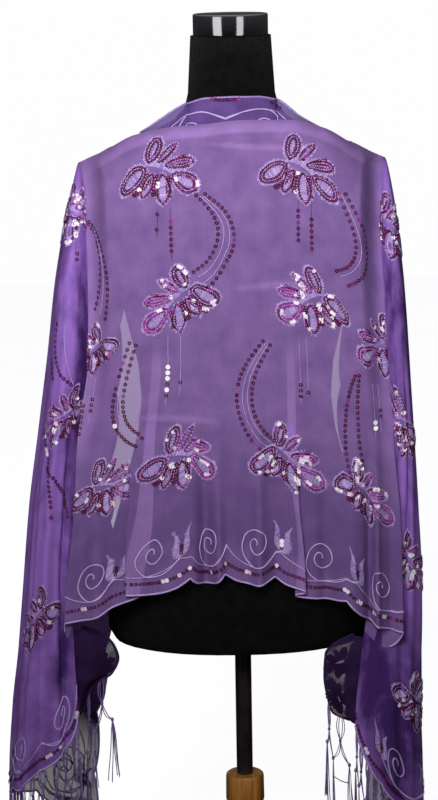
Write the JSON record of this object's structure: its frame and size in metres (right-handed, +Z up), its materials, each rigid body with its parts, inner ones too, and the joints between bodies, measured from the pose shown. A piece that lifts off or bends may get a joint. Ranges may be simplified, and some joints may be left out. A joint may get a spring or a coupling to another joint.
{
  "type": "lace shawl on dress form",
  "caption": "Sheer lilac lace shawl with a scalloped, sequinned edge and knotted fringe, draped over a limbless dress form on a turned wooden stand.",
  "frame": {"origin": "centre of the bounding box's bottom, on the floor between the feet", "axes": "+Z up along the stand's pole; -Y is the side that the shawl's middle and the form's back face; +X is to the right when looking at that side"},
  "size_m": [0.6442, 0.5578, 1.4263],
  "materials": {
    "shawl_mesh": "sheer fine-ribbed polyester mesh, slightly silky",
    "fringe_yarn": "twisted yarn, soft sheen",
    "form_cover": "matt black jersey, stretched smooth",
    "cap_chrome": "polished",
    "pole_enamel": "glossy black enamel",
    "stand_wood": "turned and waxed beech, satin"
  },
  "bodies": {
    "root": {"shawl_back_panel": "shawl_mesh", "shawl_collar": "shawl_mesh", "shawl_left_end": "shawl_mesh", "shawl_right_end": "shawl_mesh", "shawl_left_corner": "shawl_mesh", "shawl_right_corner": "shawl_mesh", "fringe_left": "fringe_yarn", "fringe_right": "fringe_yarn", "fringe_left_corner": "fringe_yarn", "fringe_right_corner": "fringe_yarn", "form_body": "form_cover", "neck_cap": "cap_chrome", "stand_pole": "pole_enamel", "stand_hub": "stand_wood", "stand_leg_1": "stand_wood", "stand_leg_2": "stand_wood", "stand_leg_3": "stand_wood"}
  },
  "joints": []
}
